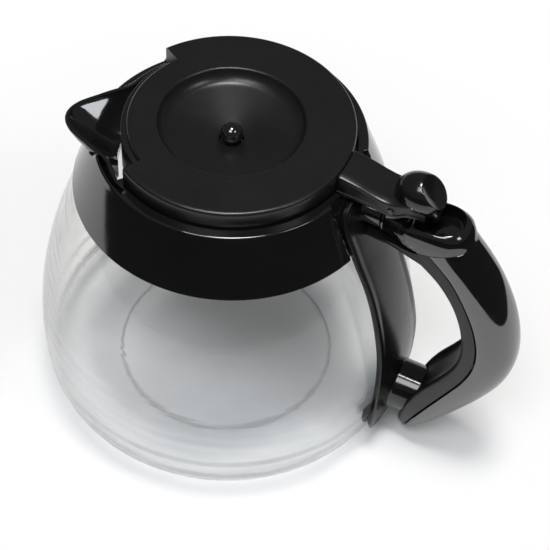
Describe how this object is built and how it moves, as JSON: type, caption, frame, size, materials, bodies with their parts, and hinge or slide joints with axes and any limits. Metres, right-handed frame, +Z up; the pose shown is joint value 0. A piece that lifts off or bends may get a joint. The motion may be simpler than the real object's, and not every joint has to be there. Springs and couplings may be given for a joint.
{
  "type": "coffee carafe",
  "caption": "Round glass coffee carafe with a black collar and pouring spout, a thumb-opened hinged lid with a dished top and sprung drip valve, and a curved two-part handle on a backing plate.",
  "frame": {"origin": "centre of the flat underside of the glass, on the surface it stands on", "axes": "+Z up, +X from the glass towards the handle, -Y the side seen in the picture"},
  "size_m": [0.208, 0.1596, 0.1498],
  "materials": {
    "glass": "clear smooth glass",
    "gloss_black": "polished black plastic",
    "satin_black": "fine satin black plastic",
    "grey_liner": "satin dark grey plastic",
    "silicone": "matt black silicone",
    "steel": "plain steel"
  },
  "bodies": {
    "jug": {"glass_bowl": "glass", "collar": "gloss_black", "collar_seal": "silicone", "back_plate": "gloss_black", "plate_pad": "silicone", "neck_sleeve": "gloss_black", "neck_ring": "gloss_black", "upper_screw": "steel", "handle_top": "gloss_black", "handle_shell": "gloss_black", "handle_liner": "grey_liner", "lower_stud": "gloss_black", "lower_screw": "steel", "hinge_pin": "steel"},
    "lid": {"lid_cover": "satin_black", "lid_skirt": "satin_black", "lid_arm": "satin_black", "arm_screw_near": "steel", "arm_screw_far": "steel", "thumb_knob": "gloss_black", "valve_cage": "satin_black", "valve_spring": "steel"},
    "valve": {"valve_pin": "gloss_black", "valve_seal": "silicone"}
  },
  "joints": [
    {"name": "lid_hinge", "type": "hinge", "parent": "jug", "child": "lid", "pos_m": [0.07, 0, 0.1342], "axis": [0, 1, 0], "range_deg": [0, 28]},
    {"name": "valve_slide", "type": "slide", "parent": "lid", "child": "valve", "axis": [0, 0, -1], "range_m": [0, 0.0024], "stiffness_N_per_m": 150, "springref_m": -0.002, "deforming": ["valve_spring"]}
  ]
}
